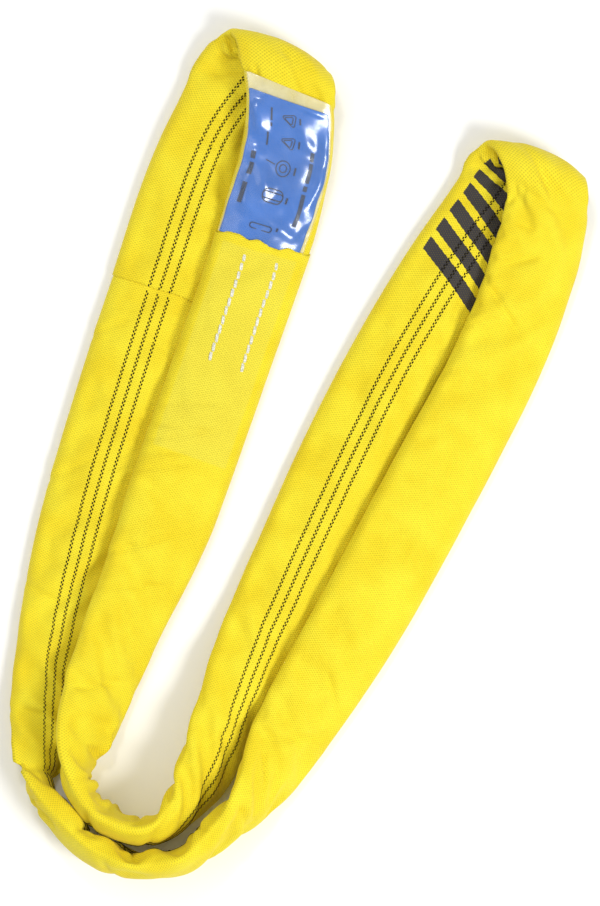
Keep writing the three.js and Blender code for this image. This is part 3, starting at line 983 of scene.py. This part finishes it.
def label_marks():
    """Plain bars and hitch outlines: x across and y down the label, from its top left."""
    strokes = [(basket(MARK_MIDDLE, y, size), LINE) for y in (14, 29) for size in (1.0, 0.62)]
    strokes += [(arc_points((MARK_MIDDLE, 45), radius, 0, 360, 30), LINE) for radius in (4.0, 2.0)]
    strokes.append(([(22 - t, 45 - 0.25 * t) for t in np.linspace(4, 9, 6)], 0.6))
    for size in (1.0, 0.5):
        strokes.append((slot_outline(16.5, 27.5, 59 - 3.2 * size, 59 + 3.2 * size, 3.0 * size), LINE))
    strokes.append((slot_outline(15, 27, 73.6, 76.6, 1.4), LINE))
    for x, spans, width in BARS:
        strokes += [bar(x, y0, y1, width) for y0, y1 in spans]
    return strokes


def make_marks():
    wide = LABEL_X[1] - LABEL_X[0]
    parts = []
    for points, width in label_marks():
        left, right = ribbon(points, width)
        rows = []
        for line in (left, right):
            x = LABEL_X[0] + wide * line[:, 0] / MARK_FIELD[0]
            v = CARD_TOP + (1 - CARD_TOP) * line[:, 1] / MARK_FIELD[1]
            proud = 0.55 + 0.5 * smooth_step((v - 0.7) / 0.2)  # more where the card is pressed down
            lift = CARD_LIFT + proud * MM + ripple(v, x, 1.0)
            rows.append([on_label(np.array([b]), np.array([a]), c)[0, 0] for a, b, c in zip(x, v, lift)])
        parts.append((np.stack(rows, axis=1), grid_faces(len(left), 2, False)))
    points, faces = joined(parts)
    return new_piece("label_marks", points, faces, MARKS, "label")


marks = make_marks()
for obj in (back, card, front, marks):
    bend_at_seam(obj)


# ---------------------------------------------------------------- hidden end of the label, and stitching
def sheet_in_cover(name, node, span, q_range, lift, thick):
    s = np.linspace(length_at(span[0]), length_at(span[1]), 50)
    q = np.linspace(*q_range, 26)
    high = SKIN.at(s[:, None], q[None, :], lift + thick)
    low = SKIN.at(s[:, None], q[None, :], lift)
    obj = sling_piece(name, *sheet_shape(high, low), CARD, "label", (node,))


LABEL_END_Q = (10 * MM, 56 * MM)
sheet_in_cover("label_end", "label_tail", LABEL_TAIL, LABEL_END_Q, -1.2 * MM, CARD_THICK)

STITCH_LENGTH = 5.6 * MM
STITCH_X = (-0.3, 0.38)
THREAD_RADIUS = 0.56 * MM
THREAD_RINGS, THREAD_AROUND = 9, 8
LEAN = 0.42 * MM  # of a stitch, to either side of its lane
LANES = (-0.42 * MM, 0.42 * MM)


def stitch(s0, s1, q0, q1, rise):
    """One thread lying on the fabric from (s0, q0) to (s1, q1), its ends dipping in."""
    t = np.linspace(0, 1, THREAD_RINGS)
    arch = np.sin(math.pi * t) ** 0.5
    lift = COVERING["main"] + (rise * arch - 0.35 * (1 - arch)) * MM
    path = SKIN.at(s0 + (s1 - s0) * t, q0 + (q1 - q0) * t, lift)
    ahead = unit(np.gradient(path, axis=0))
    up = unit(SKIN.read(SKIN.normals, s0 + (s1 - s0) * t, q0 + (q1 - q0) * t))
    side = unit(np.cross(ahead, up))
    turn = np.arange(THREAD_AROUND) / THREAD_AROUND * 2 * math.pi
    ring = side[:, None] * np.cos(turn)[None, :, None] + up[:, None] * np.sin(turn)[None, :, None]
    radius = THREAD_RADIUS * (0.55 + 0.45 * arch)
    points = path[:, None] + ring * radius[:, None, None]
    faces = grid_faces(THREAD_RINGS, THREAD_AROUND, True).tolist()
    last = THREAD_RINGS * THREAD_AROUND - 1
    faces += [list(range(THREAD_AROUND)), list(range(last, last - THREAD_AROUND, -1))]
    return points, faces


def make_stitch_row(number, x):
    start, end = length_at(STITCHES[0]), length_at(STITCHES[1])
    q = float(q_at(x, -1))
    count = round((end - start) / STITCH_LENGTH)
    step = (end - start) / count
    shift = np.random.default_rng(number).normal(size=(count, 4)) * 0.12 * MM
    parts = []
    for k in range(count):
        s = start + k * step
        for lane, aside in enumerate(LANES):
            a = s + step * 0.02 + shift[k, lane]
            b = s + step * 0.98 + shift[k, lane + 1]
            middle_q = q + aside + shift[k, 3] * 0.5
            parts.append(stitch(a, b, middle_q - LEAN, middle_q + LEAN, 0.42))
    points, faces = joined(parts)
    sling_piece(f"stitches_{number}", points, faces, THREAD, "thread", (f"stitch_row_{number}",))


for number, x in enumerate(STITCH_X, 1):
    make_stitch_row(number, x)


# ---------------------------------------------------------------- stage, light and camera
def make_table():
    bpy.ops.mesh.primitive_plane_add(size=6, location=(0, 0, -0.5 * MM))
    obj = bpy.context.object
    obj.name = "table"
    material, _, shader = new_material("table_paper", 0.9)
    shader.inputs["Base Color"].default_value = (0.97, 0.97, 0.97, 1)
    obj.data.materials.append(material)


def area_light(name, place, size, power):
    light = bpy.data.lights.new(name, "AREA")
    light.shape = "DISK"
    light.size = size
    light.energy = power
    obj = bpy.data.objects.new(name, light)
    obj.location = place
    obj.rotation_euler = (-Vector(place)).to_track_quat("-Z", "Y").to_euler()
    bpy.context.scene.collection.objects.link(obj)


def make_camera():
    cam = bpy.data.cameras.new("camera")
    cam.lens = 100
    cam.sensor_width = 36  # taken by the frame's longer side
    obj = bpy.data.objects.new("camera", cam)
    view_height = 906 * 0.6 * MM
    obj.location = (0, 0, view_height * cam.lens / cam.sensor_width)
    bpy.context.scene.collection.objects.link(obj)
    bpy.context.scene.camera = obj


def make_world(strength):
    world = bpy.data.worlds.new("studio")
    world.use_nodes = True
    background = world.node_tree.nodes["Background"]
    background.inputs[0].default_value = (1, 1, 1, 1)
    background.inputs[1].default_value = strength
    bpy.context.scene.world = world


make_table()
area_light("key", (0.85, -0.6, 1.25), 0.55, 16)
area_light("glint", (-0.25, 0.8, 1.5), 0.25, 5)
area_light("fill", (-0.9, 0.3, 1.3), 1.3, 4)
make_world(0.55)
bpy.context.scene.view_settings.view_transform = "Standard"
make_camera()
